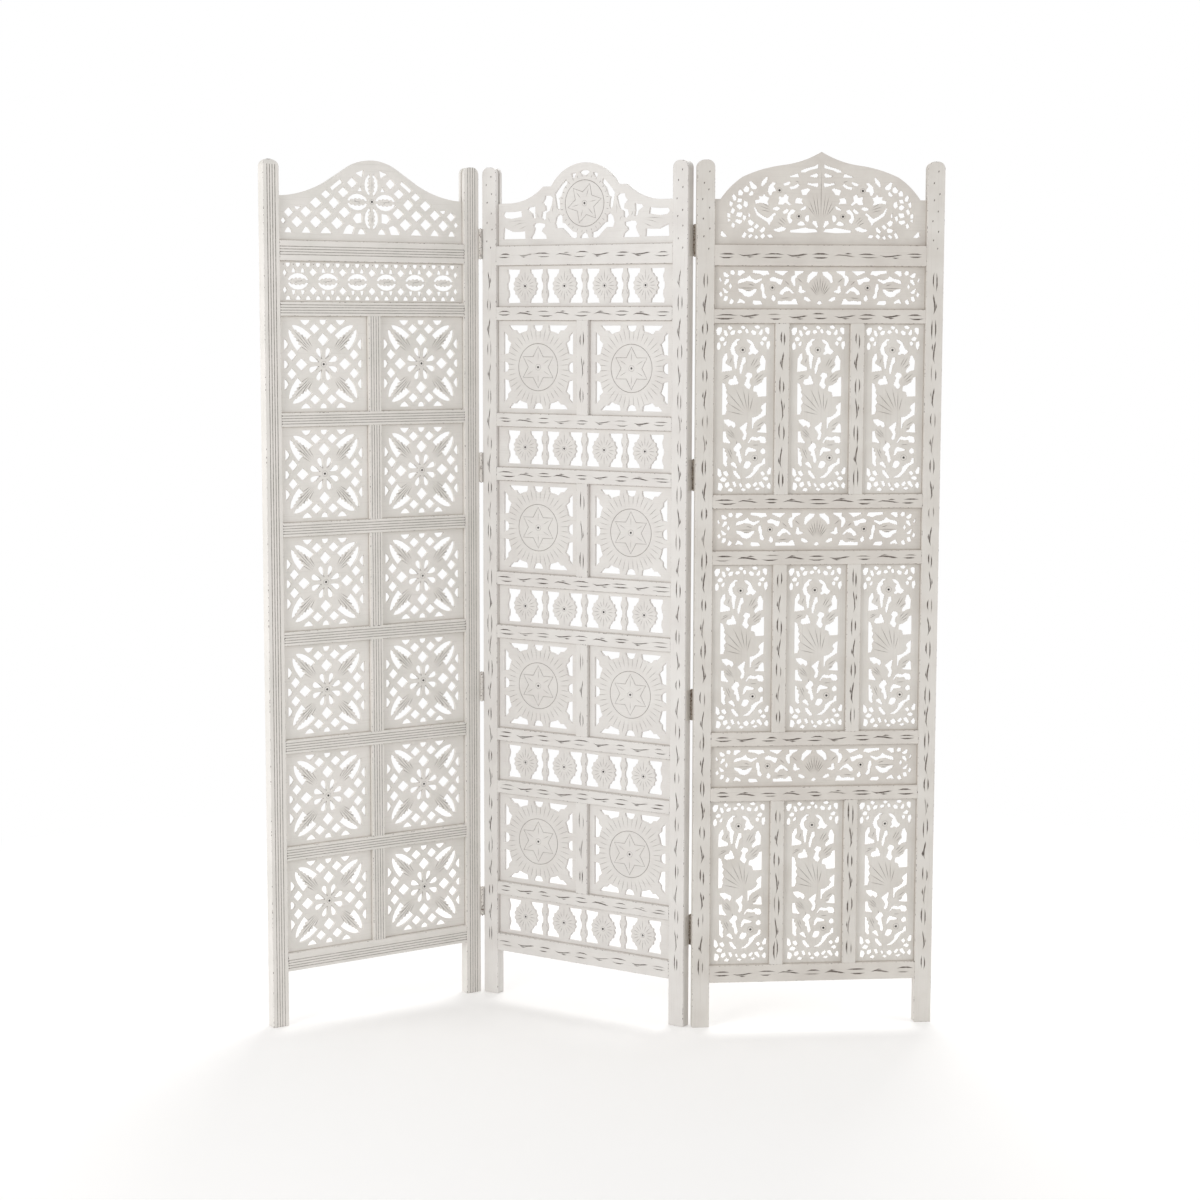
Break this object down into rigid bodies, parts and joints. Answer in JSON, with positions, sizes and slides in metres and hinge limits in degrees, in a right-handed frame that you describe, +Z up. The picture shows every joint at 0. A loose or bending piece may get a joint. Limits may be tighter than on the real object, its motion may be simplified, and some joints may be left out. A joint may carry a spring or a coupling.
{
  "type": "folding screen",
  "caption": "Free-standing folding screen with carved and pierced wooden panels held in jointed frames, its wings joined by rows of steel butt hinges",
  "frame": {"origin": "on the floor, under the middle of the standing screen's plan outline", "axes": "+Z up the posts, +X from the left wing to the right wing, -Y towards the front of the screen"},
  "size_m": [1.3974, 0.3084, 1.818],
  "materials": {
    "left_frame": "distressed whitewash",
    "left_panels": "distressed whitewash",
    "middle_frame": "distressed whitewash",
    "middle_panels": "distressed whitewash",
    "right_frame": "distressed whitewash",
    "right_panels": "distressed whitewash",
    "left_hinges": "worn plated steel",
    "right_hinges": "dark steel"
  },
  "bodies": {
    "middle_wing": {"middle_wing_left_stile": "middle_frame", "middle_wing_right_stile": "middle_frame", "middle_wing_bottom_rail": "middle_frame", "middle_wing_rail_1": "middle_frame", "middle_wing_rail_2": "middle_frame", "middle_wing_rail_3": "middle_frame", "middle_wing_rail_4": "middle_frame", "middle_wing_rail_5": "middle_frame", "middle_wing_rail_6": "middle_frame", "middle_wing_rail_7": "middle_frame", "middle_wing_rail_8": "middle_frame", "middle_wing_top_rail": "middle_frame", "middle_wing_muntins": "middle_frame", "middle_wing_square_panels": "middle_panels", "middle_wing_frieze_panel_1": "middle_panels", "middle_wing_frieze_panel_2": "middle_panels", "middle_wing_frieze_panel_3": "middle_panels", "middle_wing_frieze_panel_4": "middle_panels", "middle_wing_frieze_panel_5": "middle_panels", "middle_wing_crest_panel": "middle_panels", "left_hinge_fixed_leaves": "left_hinges", "left_hinge_pins": "left_hinges", "right_hinge_fixed_leaves": "right_hinges", "right_hinge_pins": "right_hinges"},
    "left_wing": {"left_wing_left_stile": "left_frame", "left_wing_right_stile": "left_frame", "left_wing_bottom_rail": "left_frame", "left_wing_rail_1": "left_frame", "left_wing_rail_2": "left_frame", "left_wing_rail_3": "left_frame", "left_wing_rail_4": "left_frame", "left_wing_rail_5": "left_frame", "left_wing_rail_6": "left_frame", "left_wing_top_rail": "left_frame", "left_wing_muntins": "left_frame", "left_wing_square_panels": "left_panels", "left_wing_frieze_panel": "left_panels", "left_wing_crest_panel": "left_panels", "left_hinge_moving_leaves": "left_hinges"},
    "right_wing": {"right_wing_left_stile": "right_frame", "right_wing_right_stile": "right_frame", "right_wing_bottom_rail": "right_frame", "right_wing_rail_1": "right_frame", "right_wing_rail_2": "right_frame", "right_wing_rail_3": "right_frame", "right_wing_rail_4": "right_frame", "right_wing_rail_5": "right_frame", "right_wing_top_rail": "right_frame", "right_wing_muntins": "right_frame", "right_wing_tall_panels": "right_panels", "right_wing_frieze_panel_1": "right_panels", "right_wing_frieze_panel_2": "right_panels", "right_wing_frieze_panel_3": "right_panels", "right_wing_crest_panel": "right_panels", "right_hinge_moving_leaves": "right_hinges"}
  },
  "joints": [
    {"name": "left_fold", "type": "hinge", "parent": "middle_wing", "child": "left_wing", "pos_m": [-0.26167, 0.13139, 0], "axis": [0, 0, 1], "range_deg": [-67, 112.8]},
    {"name": "right_fold", "type": "hinge", "parent": "middle_wing", "child": "right_wing", "pos_m": [0.18735, -0.11744, 0], "axis": [0, 0, 1], "range_deg": [-38.1, 141.4]}
  ]
}
